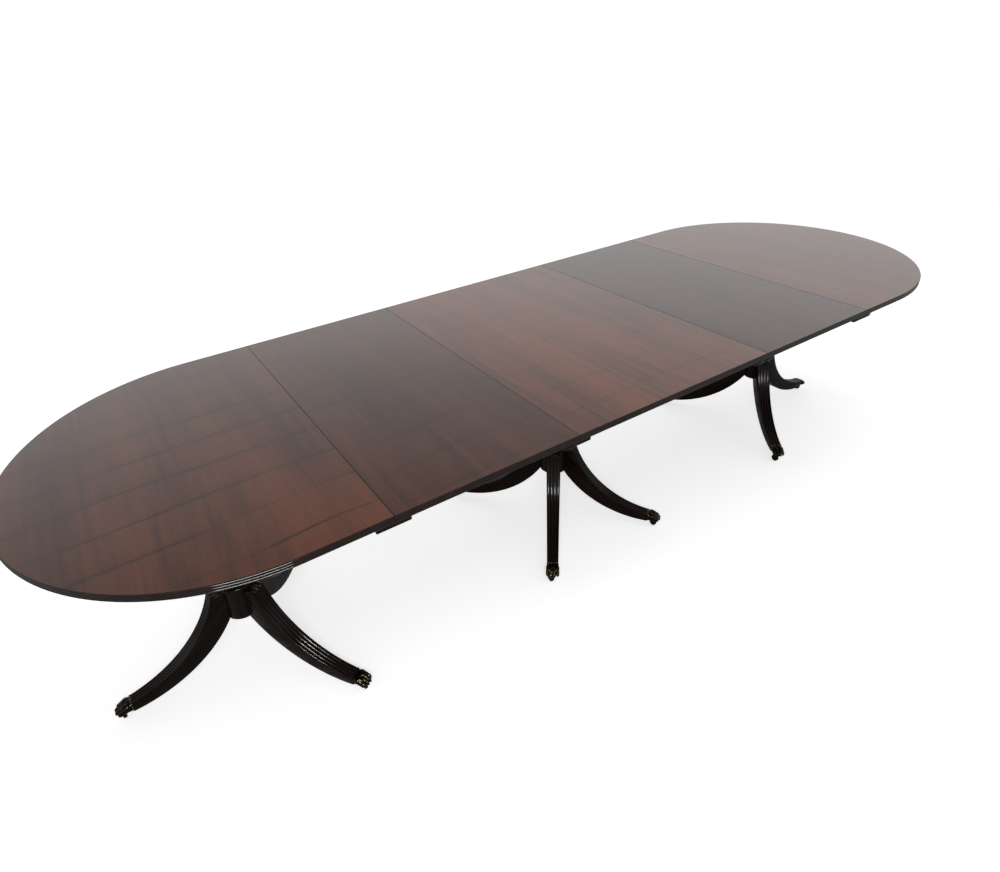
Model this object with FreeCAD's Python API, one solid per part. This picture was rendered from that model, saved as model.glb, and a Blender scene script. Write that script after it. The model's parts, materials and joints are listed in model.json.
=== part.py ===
import FreeCAD, Part
import math
import os

# Triple pedestal dining table: a round-ended mahogany top in five sections on three turned
# pedestals with reeded sabre legs, brass paw caps and swivelling castors.
# Millimetres, +Z up, origin on the floor under the middle of the table, +X along its length.

# Top: overall sizes and the lengths of its sections along X
table_height = 750.0
table_width = 1056.0
top_thickness = 19.0
centre_length = 706.0
leaf_length = 498.0
end_length = 725.0
joint_gap = 0.6

# Reeded moulding around the outside edge of the top
edge_reed_count = 3
edge_reed_rise = 1.8

# Pedestals: place of the end ones, and the legs' directions measured from the long axis
pedestal_from_joint = 289.0
end_leg_splay = 54.3
centre_leg_splay = 50.8
castor_reach = 375.0

# Turned column: drum that carries the legs, mouldings, barrel and cap
drum_radius = 49.0
drum_bottom = 196.5
drum_dome = 8.0
drum_above_legs = 6.0
collar_bead_height = 13.0
collar_bead_radius = 53.0
base_fillet_height = 4.0
base_fillet_radius = 44.0
base_cove_height = 13.0
base_ring_height = 6.0
base_ring_radius = 36.0
barrel_foot_radius = 32.0
barrel_belly_radius = 43.0
barrel_neck_radius = 26.0
barrel_belly_share = 0.22
barrel_taper_share = 0.62
neck_bead_height = 9.0
neck_bead_radius = 34.0
neck_height = 15.0
neck_radius = 28.0
cap_cove_height = 24.0
cap_ring_height = 11.0
cap_ring_radius = 54.0
cove_hollow_share = 0.3
cove_tilt_share = 0.15
column_tenon_radius = 24.0
column_tenon_length = 33.0

# Sabre leg: two arcs in side view, four reeds along its upper face, dovetailed into the drum
leg_top = 298.0
leg_knee_reach = 77.5
leg_belly_top = 206.0
leg_back_sag = 49.8
leg_belly_sag = 43.5
leg_width_top = 50.0
leg_width_toe = 37.7
leg_toe_depth = 29.0
leg_reed_count = 4
leg_reed_rise = 2.4
leg_stations = 8
dovetail_depth = 16.0
dovetail_neck_width = 14.0
dovetail_back_width = 20.0
dovetail_top_stop = 12.0
toe_tenon_length = 16.0
toe_tenon_width = 22.0
toe_tenon_height = 15.0
wood_joint_clearance = 0.1

# Brass paw cap on the toe of each leg
toe_setback = 29.0
collar_length = 3.5
collar_width = 39.8
collar_proud = 1.0
ankle_width = 38.8
paw_pad_width = 43.0
paw_pad_length = 26.0
paw_bridge_length = 38.0
paw_bridge_height = 19.0
paw_toe_count = 4
paw_toe_radius = 6.2
paw_toe_pitch = 10.9
knuckle_back = 21.0
knuckle_rise = 18.5
toe_tip_back = 43.5
toe_tip_rise = 9.0
outer_toe_setback = 4.0

# Castor under each paw: wheel, horn, stem and axle; all trail one way, as when the table has rolled
castor_heading = 90.0
wheel_radius = 13.5
wheel_width = 9.0
wheel_edge_round = 1.5
wheel_top_gap = 0.8
wheel_side_gap = 0.4
castor_trail = 9.0
horn_plate_thickness = 2.8
horn_cheek_thickness = 2.4
horn_plate_radius = 8.5
horn_eye_radius = 5.0
horn_tail = 7.0
castor_gap = 0.4
stem_radius = 4.0
stem_length = 14.0
axle_radius = 2.0
axle_head_radius = 3.2
axle_head_height = 0.8
axle_seat_clearance = 0.02
running_clearance = 0.05

# Bearers and block that carry the top on each column
block_width = 122.0
block_length = 190.0
block_height = 40.0
bearer_width = 30.0
bearer_length = 700.0
bearer_end_depth = 16.0
bearer_flat_length = 220.0

# Two-pronged brass forks and sockets that join the sections under their long edges
fitting_edge_inset = 30.0
fitting_length = 40.0
fitting_width = 52.0
fitting_plate_thickness = 3.0
barrel_pitch = 30.0
barrel_radius = 8.5
barrel_drop = 9.5
prong_radius = 4.5
prong_length = 34.0
prong_end_room = 2.0
prong_clearance = 0.08

# Wood screws
screw_radius = 2.0
screw_head_radius = 3.8
screw_head_height = 2.2
screw_clearance = 0.1
screw_bite = 12.0
bearer_screw_length = 32.0
bearer_screw_inner = 150.0
bearer_screw_outer = 310.0
block_screw_place = 60.0
block_screw_bite = 22.0
counterbore_clearance = 0.6
fitting_screw_near = 11.0
fitting_screw_far = 29.0

# Levels and places that follow from the sizes above
half_width = table_width / 2
underside = table_height - top_thickness
column_top = underside - block_height
paw_bottom = 2 * wheel_radius + wheel_top_gap + horn_plate_thickness + castor_gap
toe_reach = castor_reach - toe_setback
seat_reach = math.sqrt(drum_radius ** 2 - (leg_width_top / 2) ** 2)
centre_joint = centre_length / 2
leaf_start = centre_joint + joint_gap
leaf_stop = leaf_start + leaf_length
end_start = leaf_stop + joint_gap
end_round_centre = end_start + end_length - half_width
end_pedestal = end_start + pedestal_from_joint
fitting_y = half_width - fitting_edge_inset
bearer_x = block_width / 2 + bearer_width / 2

V = FreeCAD.Vector
UP = V(0, 0, 1)
ACROSS = V(0, 1, 0)


def line(a, b):
    return Part.LineSegment(a, b).toShape()


def arc(a, middle, b):
    return Part.Arc(a, middle, b).toShape()


def face_of(edges):
    return Part.Face(Part.Wire(edges))


def box(low, high):
    size = high - low
    return Part.makeBox(size.x, size.y, size.z, low)


def moved(shape, x=0.0, y=0.0, z=0.0):
    copy = shape.copy()
    copy.translate(V(x, y, z))
    return copy


def turned(shape, degrees):
    copy = shape.copy()
    copy.rotate(V(0, 0, 0), UP, degrees)
    return copy


def edge_reeds(point):
    """Reeds of the moulded edge from top to bottom; point(out, z) places a section point."""
    pitch = top_thickness / edge_reed_count
    reeds = []
    for number in range(edge_reed_count):
        high = table_height - number * pitch
        reeds.append(arc(point(half_width - edge_reed_rise, high),
                         point(half_width, high - pitch / 2),
                         point(half_width - edge_reed_rise, high - pitch)))
    return reeds


def straight_top(start, stop):
    """Length of the top between two joint faces, moulded along both long edges."""
    inner = half_width - edge_reed_rise
    near = edge_reeds(lambda out, z: V(start, -out, z))
    far = edge_reeds(lambda out, z: V(start, out, z))
    top_line = line(V(start, -inner, table_height), V(start, inner, table_height))
    bottom_line = line(V(start, inner, underside), V(start, -inner, underside))
    section = face_of([top_line] + far + [bottom_line] + near[::-1])
    return section.extrude(V(stop - start, 0, 0))


def round_end_top():
    """Right-hand end of the top: a short straight stretch and a half circle, moulded all round."""
    inner = half_width - edge_reed_rise
    reeds = edge_reeds(lambda out, z: V(0, -out, z))
    top_line = line(V(0, 0, table_height), V(0, -inner, table_height))
    bottom_line = line(V(0, -inner, underside), V(0, 0, underside))
    axis_line = line(V(0, 0, underside), V(0, 0, table_height))
    section = face_of([top_line] + reeds + [bottom_line, axis_line])
    half_disc = moved(section.revolve(V(0, 0, 0), UP, 180), x=end_round_centre)
    return straight_top(end_start, end_round_centre).fuse(half_disc).removeSplitter()


def bead(radius_low, z_low, radius_out, z_high, radius_high):
    """Half-round moulding of a turned profile."""
    return arc(V(radius_low, 0, z_low), V(radius_out, 0, (z_low + z_high) / 2), V(radius_high, 0, z_high))


def cove(radius_low, z_low, radius_high, z_high):
    """Hollow moulding of a turned profile, drawn in towards the smaller radius."""
    hollow = cove_hollow_share * abs(radius_low - radius_high)
    middle = V((radius_low + radius_high) / 2 - hollow, 0, (z_low + z_high) / 2)
    tilt = cove_tilt_share * (z_high - z_low)
    middle.z += tilt if radius_low > radius_high else -tilt
    return arc(V(radius_low, 0, z_low), middle, V(radius_high, 0, z_high))


def column_profile():
    """Half outline of the turned column, from the middle of its underside up to its tenon."""
    rim = drum_bottom + drum_dome
    drum_high = leg_top + drum_above_legs
    bead_high = drum_high + collar_bead_height
    fillet_high = bead_high + base_fillet_height
    cove_high = fillet_high + base_cove_height
    ring_high = cove_high + base_ring_height
    ring_low = column_top - cap_ring_height
    cap_low = ring_low - cap_cove_height
    neck_low = cap_low - neck_height
    barrel_high = neck_low - neck_bead_height
    barrel_length = barrel_high - ring_high
    tenon_high = column_top + column_tenon_length

    dome_radius = (drum_radius ** 2 + drum_dome ** 2) / (2 * drum_dome)
    half = drum_radius / 2
    dome_middle = drum_bottom + dome_radius - math.sqrt(dome_radius ** 2 - half ** 2)
    belly_high = ring_high + barrel_belly_share * barrel_length
    taper_high = ring_high + barrel_taper_share * barrel_length
    taper_radius = (barrel_belly_radius + barrel_neck_radius) / 2
    barrel = Part.BSplineCurve()
    barrel.interpolate([V(barrel_foot_radius, 0, ring_high),
                        V(barrel_belly_radius, 0, belly_high),
                        V(taper_radius, 0, taper_high),
                        V(barrel_neck_radius, 0, barrel_high)])
    return [
        arc(V(0, 0, drum_bottom), V(half, 0, dome_middle), V(drum_radius, 0, rim)),
        line(V(drum_radius, 0, rim), V(drum_radius, 0, drum_high)),
        bead(drum_radius, drum_high, collar_bead_radius, bead_high, base_fillet_radius),
        line(V(base_fillet_radius, 0, bead_high), V(base_fillet_radius, 0, fillet_high)),
        cove(base_fillet_radius, fillet_high, barrel_foot_radius, cove_high),
        bead(barrel_foot_radius, cove_high, base_ring_radius, ring_high, barrel_foot_radius),
        barrel.toShape(),
        bead(barrel_neck_radius, barrel_high, neck_bead_radius, neck_low, neck_radius),
        line(V(neck_radius, 0, neck_low), V(neck_radius, 0, cap_low)),
        cove(neck_radius, cap_low, cap_ring_radius, ring_low),
        line(V(cap_ring_radius, 0, ring_low), V(cap_ring_radius, 0, column_top)),
        line(V(cap_ring_radius, 0, column_top), V(column_tenon_radius, 0, column_top)),
        line(V(column_tenon_radius, 0, column_top), V(column_tenon_radius, 0, tenon_high)),
        line(V(column_tenon_radius, 0, tenon_high), V(0, 0, tenon_high)),
        line(V(0, 0, tenon_high), V(0, 0, drum_bottom)),
    ]


def dovetail(clearance, low, high):
    """Upright dovetail on the pedestal side of a leg's seat, grown all round by the clearance."""
    neck = dovetail_neck_width / 2 + clearance
    back = dovetail_back_width / 2 + clearance
    deep = seat_reach - dovetail_depth - clearance
    corners = [V(seat_reach, -neck, low), V(deep, -back, low), V(deep, back, low), V(seat_reach, neck, low)]
    outline = Part.makePolygon(corners + corners[:1])
    return Part.Face(outline).extrude(V(0, 0, high - low))


def column(leg_directions):
    """Turned column with a flat seat and a dovetail slot, open below, for each leg."""
    body = face_of(column_profile()).revolve(V(0, 0, 0), UP, 360)
    seat = box(V(seat_reach, -drum_radius, drum_bottom), V(2 * drum_radius, drum_radius, leg_top))
    slot = dovetail(wood_joint_clearance, drum_bottom, leg_top - dovetail_top_stop + wood_joint_clearance)
    cuts = []
    for direction in leg_directions:
        cuts.append(turned(seat, direction))
        cuts.append(turned(slot, direction))
    return body.cut(cuts)


def sagged_circle(a, b, sag):
    """Centre and radius of the circle through a and b that hangs below their chord by the sag."""
    chord = b - a
    radius = (chord.Length ** 2 / 4 + sag ** 2) / (2 * sag)
    to_centre = V(-chord.z, 0, chord.x).normalize()
    return (a + b) / 2 + to_centre * (radius - sag), radius


def angle_of(point, centre):
    return math.atan2(point.z - centre.z, point.x - centre.x) % (2 * math.pi)


def leg_section(back, belly, width, rise):
    """Closed section across the leg: reeds over the back, plain sides and underside."""
    depth_way = (back - belly).normalize()
    valley = back - depth_way * rise
    pitch = width / leg_reed_count
    edges = [line(belly - ACROSS * (width / 2), valley - ACROSS * (width / 2))]
    for number in range(leg_reed_count):
        start = valley + ACROSS * (number * pitch - width / 2)
        edges.append(arc(start, start + ACROSS * (pitch / 2) + depth_way * rise, start + ACROSS * pitch))
    edges.append(line(valley + ACROSS * (width / 2), belly + ACROSS * (width / 2)))
    edges.append(line(belly + ACROSS * (width / 2), belly - ACROSS * (width / 2)))
    return Part.Wire(edges)


def sabre_leg():
    """Leg that points along +X from the column's axis: curved body, dovetail and toe tenon."""
    toe_top = paw_bottom + leg_toe_depth
    back_start = V(leg_knee_reach, 0, leg_top)
    back_end = V(toe_reach, 0, toe_top)
    belly_end = V(toe_reach, 0, paw_bottom)
    back_centre, back_radius = sagged_circle(back_start, back_end, leg_back_sag)
    belly_centre, belly_radius = sagged_circle(V(seat_reach, 0, leg_belly_top), belly_end, leg_belly_sag)
    back_from = angle_of(back_start, back_centre)
    back_to = angle_of(back_end, back_centre)
    belly_from = math.pi + math.asin((belly_centre.z - leg_top) / belly_radius)
    belly_to = angle_of(belly_end, belly_centre)
    wires = []
    for station in range(leg_stations):
        along = station / (leg_stations - 1)
        back_angle = back_from + (back_to - back_from) * along
        belly_angle = belly_from + (belly_to - belly_from) * along
        back = back_centre + V(math.cos(back_angle), 0, math.sin(back_angle)) * back_radius
        belly = belly_centre + V(math.cos(belly_angle), 0, math.sin(belly_angle)) * belly_radius
        width = leg_width_top + (leg_width_toe - leg_width_top) * along
        wires.append(leg_section(back, belly, width, leg_reed_rise * width / leg_width_top))
    body = Part.makeLoft(wires, True, False)
    body = body.cut(box(V(-2 * drum_radius, -leg_width_top, 0), V(seat_reach, leg_width_top, 2 * leg_top)))
    tongue = dovetail(0.0, leg_belly_top + dovetail_top_stop, leg_top - dovetail_top_stop)
    tenon = toe_tenon(0.0)
    return body.fuse([tongue, tenon]).removeSplitter()


def toe_tenon(clearance):
    """Square tenon on the toe of the leg, or the socket for it, grown by the clearance."""
    middle = paw_bottom + leg_toe_depth / 2
    half_w = toe_tenon_width / 2 + clearance
    half_h = toe_tenon_height / 2 + clearance
    return box(V(toe_reach, -half_w, middle - half_h),
               V(toe_reach + toe_tenon_length + clearance, half_w, middle + half_h))


def paw_block(reach_a, width_a, top_a, reach_b, width_b, top_b):
    """Tapered length of the paw between two upright square sections that stand on its underside."""
    wires = []
    for reach, width, top in ((reach_a, width_a, top_a), (reach_b, width_b, top_b)):
        corners = [V(reach, -width / 2, paw_bottom), V(reach, width / 2, paw_bottom),
                   V(reach, width / 2, top), V(reach, -width / 2, top)]
        wires.append(Part.makePolygon(corners + corners[:1]))
    return Part.makeLoft(wires, True, True)


def paw_toe(offset, setback):
    """One rounded toe from its knuckle down to its tip."""
    knuckle = V(toe_reach + knuckle_back - setback, offset, paw_bottom + knuckle_rise)
    tip = V(toe_reach + toe_tip_back - setback, offset, paw_bottom + toe_tip_rise)
    bone = Part.makeCylinder(paw_toe_radius, (tip - knuckle).Length, knuckle, tip - knuckle)
    return bone.fuse([Part.makeSphere(paw_toe_radius, knuckle), Part.makeSphere(paw_toe_radius, tip)])


def paw_cap():
    """Cast paw with a collar, a socket for the leg's toe and a bore for the castor's stem."""
    toe_top = paw_bottom + leg_toe_depth
    collar = box(V(toe_reach, -collar_width / 2, paw_bottom),
                 V(toe_reach + collar_length, collar_width / 2, toe_top + collar_proud))
    ankle = paw_block(toe_reach + collar_length, ankle_width, toe_top,
                      toe_reach + paw_pad_length, paw_pad_width, paw_bottom + knuckle_rise)
    bridge = paw_block(toe_reach + paw_pad_length, paw_pad_width, paw_bottom + knuckle_rise,
                       toe_reach + paw_bridge_length, paw_pad_width, paw_bottom + paw_bridge_height / 2)
    pieces = [ankle, bridge]
    first = -(paw_toe_count - 1) / 2
    for number in range(paw_toe_count):
        outer = number in (0, paw_toe_count - 1)
        pieces.append(paw_toe((first + number) * paw_toe_pitch, outer_toe_setback if outer else 0.0))
    body = collar.fuse(pieces).removeSplitter()
    bore = Part.makeCylinder(stem_radius + running_clearance, stem_length + castor_gap,
                             V(castor_reach, 0, paw_bottom), UP)
    return body.cut([toe_tenon(wood_joint_clearance), bore])


def castor_horn():
    """Swivelling horn of a castor that trails along +X, with its stem and the axle riveted across it."""
    plate_top = paw_bottom - castor_gap
    plate_low = plate_top - horn_plate_thickness
    inner = wheel_width / 2 + wheel_side_gap
    outer = inner + horn_cheek_thickness
    tail = -horn_tail
    eye_in = castor_trail - horn_eye_radius
    eye_out = castor_trail + horn_eye_radius
    cheek_outline = [
        line(V(tail, inner, plate_top), V(tail, inner, plate_low)),
        line(V(tail, inner, plate_low), V(eye_in, inner, wheel_radius)),
        arc(V(eye_in, inner, wheel_radius), V(castor_trail, inner, wheel_radius - horn_eye_radius),
            V(eye_out, inner, wheel_radius)),
        line(V(eye_out, inner, wheel_radius), V(eye_out, inner, plate_top)),
        line(V(eye_out, inner, plate_top), V(tail, inner, plate_top)),
    ]
    far_cheek = face_of(cheek_outline).extrude(V(0, horn_cheek_thickness, 0))
    near_cheek = moved(far_cheek, y=-inner - outer)
    bridge = box(V(tail, -outer, plate_low), V(eye_out, outer, plate_top))
    disc = Part.makeCylinder(horn_plate_radius, horn_plate_thickness, V(0, 0, plate_low), UP)
    stem = Part.makeCylinder(stem_radius, stem_length, V(0, 0, plate_top), UP)
    body = bridge.fuse([far_cheek, near_cheek, disc, stem]).removeSplitter()
    axle_start = V(castor_trail, -outer, wheel_radius)
    eye = Part.makeCylinder(axle_radius + axle_seat_clearance, 2 * outer, axle_start, ACROSS)
    pin = Part.makeCylinder(axle_radius, 2 * outer, axle_start, ACROSS)
    heads = []
    for start in (-outer - axle_head_height, outer):
        heads.append(Part.makeCylinder(axle_head_radius, axle_head_height,
                                       V(castor_trail, start, wheel_radius), ACROSS))
    return Part.makeCompound([body.cut(eye), pin.fuse(heads).removeSplitter()])


def castor_wheel():
    """Turned brass wheel with rounded rims, bored for the axle."""
    half = wheel_width / 2
    flat = half - wheel_edge_round
    bore = axle_radius + running_clearance
    low = wheel_radius - wheel_edge_round
    slant = wheel_edge_round * math.sqrt(0.5)
    outline = [
        line(V(0, -half, bore), V(0, -half, low)),
        arc(V(0, -half, low), V(0, -flat - slant, low + slant), V(0, -flat, wheel_radius)),
        line(V(0, -flat, wheel_radius), V(0, flat, wheel_radius)),
        arc(V(0, flat, wheel_radius), V(0, flat + slant, low + slant), V(0, half, low)),
        line(V(0, half, low), V(0, half, bore)),
        line(V(0, half, bore), V(0, -half, bore)),
    ]
    wheel = face_of(outline).revolve(V(0, 0, 0), ACROSS, 360)
    return moved(wheel, x=castor_trail, z=wheel_radius)


def screw(seat, way, length):
    """Round-headed wood screw: its head bears at the seat and its shank points along the way."""
    shank = Part.makeCylinder(screw_radius, length, seat, way)
    dome_radius = (screw_head_radius ** 2 + screw_head_height ** 2) / (2 * screw_head_height)
    ball = Part.makeSphere(dome_radius, seat + way * (dome_radius - screw_head_height))
    head = ball.common(Part.makeCylinder(screw_head_radius, screw_head_height, seat, way * -1))
    return shank.fuse(head).removeSplitter()


def screw_hole(seat, way, length):
    return Part.makeCylinder(screw_radius + screw_clearance, length + screw_clearance, seat, way)


def bearer_screw_seats(x):
    """Head seats of the upright screws of the two bearers at a pedestal."""
    seat_z = underside + screw_bite - bearer_screw_length
    places = [sign * place for place in (bearer_screw_inner, bearer_screw_outer) for sign in (-1, 1)]
    return [V(x + side * bearer_x, y, seat_z) for side in (-1, 1) for y in places]


def block_screw_seats(x):
    """Head seats, with directions, of the level screws that hold the block between the bearers."""
    level = underside - block_height / 2
    outside = block_width / 2 + bearer_width
    seats = []
    for side in (-1, 1):
        for y in (-block_screw_place, block_screw_place):
            seats.append((V(x + side * outside, y, level), V(-side, 0, 0)))
    return seats


def bearers(x):
    """Pair of tapered rails across the underside of a top section."""
    half = bearer_length / 2
    flat = bearer_flat_length / 2
    outline = [V(0, -half, underside), V(0, half, underside), V(0, half, underside - bearer_end_depth),
               V(0, flat, column_top), V(0, -flat, column_top), V(0, -half, underside - bearer_end_depth)]
    rail = Part.Face(Part.makePolygon(outline + outline[:1])).extrude(V(bearer_width, 0, 0))
    cuts = []
    for seat in bearer_screw_seats(x):
        cuts.append(screw_hole(seat, UP, bearer_screw_length))
        pocket = screw_head_radius + counterbore_clearance
        cuts.append(Part.makeCylinder(pocket, block_height, seat, UP * -1))
    for seat, way in block_screw_seats(x):
        cuts.append(screw_hole(seat, way, bearer_width))
    pair = []
    for side in (-1, 1):
        pair.append(moved(rail, x=x + side * bearer_x - bearer_width / 2).cut(cuts))
    return Part.makeCompound(pair)


def block(x):
    """Block between the bearers, bored for the column's tenon."""
    body = box(V(x - block_width / 2, -block_length / 2, column_top),
               V(x + block_width / 2, block_length / 2, underside))
    mortise = Part.makeCylinder(column_tenon_radius + wood_joint_clearance,
                                column_tenon_length + wood_joint_clearance, V(x, 0, column_top), UP)
    cuts = [mortise]
    for seat, way in block_screw_seats(x):
        cuts.append(screw_hole(seat, way, bearer_width + block_screw_bite))
    return body.cut(cuts)


def pedestal_screws(x):
    """Screws of the bearers and the block at one pedestal."""
    screws = [screw(seat, UP, bearer_screw_length) for seat in bearer_screw_seats(x)]
    for seat, way in block_screw_seats(x):
        screws.append(screw(seat, way, bearer_width + block_screw_bite))
    return screws


def fitting_screw_seats(joint_x, way):
    """Head seats of the screws of the two fittings at a joint face."""
    seat_z = underside - fitting_plate_thickness
    return [V(joint_x + way * place, side * fitting_y, seat_z)
            for side in (-1, 1) for place in (fitting_screw_near, fitting_screw_far)]


def fitting_screws(joint_x, way):
    length = fitting_plate_thickness + screw_bite
    return [screw(seat, UP, length) for seat in fitting_screw_seats(joint_x, way)]


def fitting(joint_x, way, side):
    """Plate with two barrels under the edge of a section; way points into the section."""
    middle = side * fitting_y
    low_x = min(joint_x, joint_x + way * fitting_length)
    high_x = max(joint_x, joint_x + way * fitting_length)
    body = box(V(low_x, middle - fitting_width / 2, underside - fitting_plate_thickness),
               V(high_x, middle + fitting_width / 2, underside))
    barrels = []
    for offset in (-barrel_pitch / 2, barrel_pitch / 2):
        start = V(joint_x, middle + offset, underside - barrel_drop)
        barrels.append(Part.makeCylinder(barrel_radius, fitting_length, start, V(way, 0, 0)))
    body = body.fuse(barrels)
    room = box(V(low_x, middle - fitting_width, underside), V(high_x, middle + fitting_width, table_height))
    body = body.cut(room)
    length = fitting_plate_thickness
    holes = [screw_hole(seat, UP, length) for seat in fitting_screw_seats(joint_x, way)]
    return body.cut(holes).removeSplitter()


def prongs(joint_x, way, side, radius, length):
    """Pair of prongs, or bores for them, that run from a joint face along the way."""
    pair = []
    for offset in (-barrel_pitch / 2, barrel_pitch / 2):
        start = V(joint_x, side * fitting_y + offset, underside - barrel_drop)
        pair.append(Part.makeCylinder(radius, length, start, V(way, 0, 0)))
    return pair


def forks(joint_x, way):
    """Both forks at a joint face; their prongs stand out across the joint."""
    pair = []
    for side in (-1, 1):
        pins = prongs(joint_x, -way, side, prong_radius, joint_gap + prong_length)
        pair.append(fitting(joint_x, way, side).fuse(pins).removeSplitter())
    return pair


def sockets(joint_x, way):
    """Both sockets at a joint face, bored for the prongs of the section beside it."""
    pair = []
    for side in (-1, 1):
        bores = prongs(joint_x, way, side, prong_radius + prong_clearance, prong_length + prong_end_room)
        pair.append(fitting(joint_x, way, side).cut(bores))
    return pair


def pilot_holes(joints, pedestal=None):
    """Blind holes in the underside of a top section for every screw that enters it."""
    holes = []
    for joint_x, way in joints:
        length = fitting_plate_thickness + screw_bite
        holes += [screw_hole(seat, UP, length) for seat in fitting_screw_seats(joint_x, way)]
    if pedestal is not None:
        holes += [screw_hole(seat, UP, bearer_screw_length) for seat in bearer_screw_seats(pedestal)]
    return holes


def pedestal_nodes(prefix, x, legs):
    """Column, legs, paws, castors, block and bearers of the pedestal that stands at x."""
    nodes = {
        prefix + "_column": moved(column(legs.values()), x=x),
        prefix + "_block": block(x),
        prefix + "_bearers": bearers(x),
    }
    paws = []
    for place, direction in legs.items():
        stem_x = x + castor_reach * math.cos(math.radians(direction))
        stem_y = castor_reach * math.sin(math.radians(direction))
        nodes[prefix + "_leg_" + place] = moved(turned(leg_shape, direction), x=x)
        nodes[prefix + "_castor_horn_" + place] = moved(horn_shape, x=stem_x, y=stem_y)
        nodes[prefix + "_castor_wheel_" + place] = moved(wheel_shape, x=stem_x, y=stem_y)
        paws.append(moved(turned(paw_shape, direction), x=x))
    nodes[prefix + "_paw_caps"] = Part.makeCompound(paws)
    return nodes


leg_shape = sabre_leg()
paw_shape = paw_cap()
horn_shape = turned(castor_horn(), castor_heading)
wheel_shape = turned(castor_wheel(), castor_heading)

parts = {}

# Centre section on its four-legged pedestal, with forks at both joint faces
centre_joints = [(-centre_joint, 1), (centre_joint, -1)]
centre_legs = {
    "front_left": 180.0 + centre_leg_splay,
    "front_right": -centre_leg_splay,
    "back_left": 180.0 - centre_leg_splay,
    "back_right": centre_leg_splay,
}
centre_forks = []
centre_screws = pedestal_screws(0.0)
for face_x, inward in centre_joints:
    centre_forks += forks(face_x, inward)
    centre_screws += fitting_screws(face_x, inward)
parts["centre_top"] = straight_top(-centre_joint, centre_joint).cut(pilot_holes(centre_joints, 0.0))
parts["centre_forks"] = Part.makeCompound(centre_forks)
parts["centre_screws"] = Part.makeCompound(centre_screws)
parts.update(pedestal_nodes("centre", 0.0, centre_legs))

# Leaf and round end on each side; the left ones are the right ones turned half round
leaf_joints = [(leaf_start, 1), (leaf_stop, -1)]
end_joints = [(end_start, 1)]
leaf_top = straight_top(leaf_start, leaf_stop).cut(pilot_holes(leaf_joints))
leaf_sockets = Part.makeCompound(sockets(leaf_start, 1))
leaf_forks = Part.makeCompound(forks(leaf_stop, -1))
leaf_screws = Part.makeCompound(fitting_screws(leaf_start, 1) + fitting_screws(leaf_stop, -1))
end_top = round_end_top().cut(pilot_holes(end_joints, end_pedestal))
end_sockets = Part.makeCompound(sockets(end_start, 1))
end_screws = Part.makeCompound(pedestal_screws(end_pedestal) + fitting_screws(end_start, 1))
for side_name, outward in (("right", 0.0), ("left", 180.0)):
    sign = math.cos(math.radians(outward))
    parts[side_name + "_leaf"] = turned(leaf_top, outward)
    parts[side_name + "_leaf_sockets"] = turned(leaf_sockets, outward)
    parts[side_name + "_leaf_forks"] = turned(leaf_forks, outward)
    parts[side_name + "_leaf_screws"] = turned(leaf_screws, outward)
    parts[side_name + "_end_top"] = turned(end_top, outward)
    parts[side_name + "_end_sockets"] = turned(end_sockets, outward)
    parts[side_name + "_end_screws"] = turned(end_screws, outward)
    end_legs = {
        "outer": outward,
        "front": outward - sign * (180.0 - end_leg_splay),
        "back": outward + sign * (180.0 - end_leg_splay),
    }
    parts.update(pedestal_nodes(side_name + "_end", sign * end_pedestal, end_legs))

os.makedirs("parts", exist_ok=True)
for node, shape in parts.items():
    shape.exportStep("parts/" + node + ".step")
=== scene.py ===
import json
import math

import bmesh
import bpy
from mathutils import Matrix, Vector

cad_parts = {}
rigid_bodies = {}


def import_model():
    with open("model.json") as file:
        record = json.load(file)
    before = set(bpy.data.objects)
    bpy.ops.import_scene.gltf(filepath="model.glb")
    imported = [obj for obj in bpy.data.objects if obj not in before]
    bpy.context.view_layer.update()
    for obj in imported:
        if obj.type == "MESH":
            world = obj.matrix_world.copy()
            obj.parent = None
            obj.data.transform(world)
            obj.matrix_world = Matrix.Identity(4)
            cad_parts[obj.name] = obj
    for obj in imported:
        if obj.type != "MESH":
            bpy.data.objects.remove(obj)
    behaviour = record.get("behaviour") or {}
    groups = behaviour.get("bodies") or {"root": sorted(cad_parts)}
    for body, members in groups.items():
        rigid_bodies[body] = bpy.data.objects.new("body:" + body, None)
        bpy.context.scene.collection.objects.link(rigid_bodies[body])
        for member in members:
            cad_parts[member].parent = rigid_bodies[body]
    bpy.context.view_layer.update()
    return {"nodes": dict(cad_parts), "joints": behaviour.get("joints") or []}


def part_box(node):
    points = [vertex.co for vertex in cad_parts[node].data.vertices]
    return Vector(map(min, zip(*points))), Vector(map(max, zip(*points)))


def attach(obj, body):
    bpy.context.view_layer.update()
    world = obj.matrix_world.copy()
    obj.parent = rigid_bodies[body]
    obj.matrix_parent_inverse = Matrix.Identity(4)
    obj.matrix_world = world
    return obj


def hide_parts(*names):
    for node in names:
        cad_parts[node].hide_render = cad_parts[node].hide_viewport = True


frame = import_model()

# Turned columns: the upright of each pedestal, turned from one baulk of mahogany with a drum at its
# foot for the legs and a tenon at its head. The wood is stained nearly black and polished, and the
# stain has rubbed thin along the arrises.
pedestal_legs = {
    "centre": ("front_left", "front_right", "back_left", "back_right"),
    "left_end": ("outer", "front", "back"),
    "right_end": ("outer", "front", "back"),
}
column_arris = 0.0008
column_grain = Matrix.Rotation(math.radians(90.0), 4, "Y")
weld_distance = 0.00001
flat_angle = math.radians(0.2)
arris_angle = math.radians(32.0)
stain_dark = (0.0046, 0.0029, 0.0022, 1.0)
stain_thin = (0.0145, 0.0075, 0.0054, 1.0)
stain_rubbed = (0.040, 0.019, 0.012, 1.0)
wax_in_hollows = (0.012, 0.010, 0.008, 1.0)
# Pale dust for the up-facing ledges of the knees, which also stands as painted light on them.
ledge_dust_and_painted_light = (0.26, 0.23, 0.17, 1.0)
flat_facing = 0.95
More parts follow.
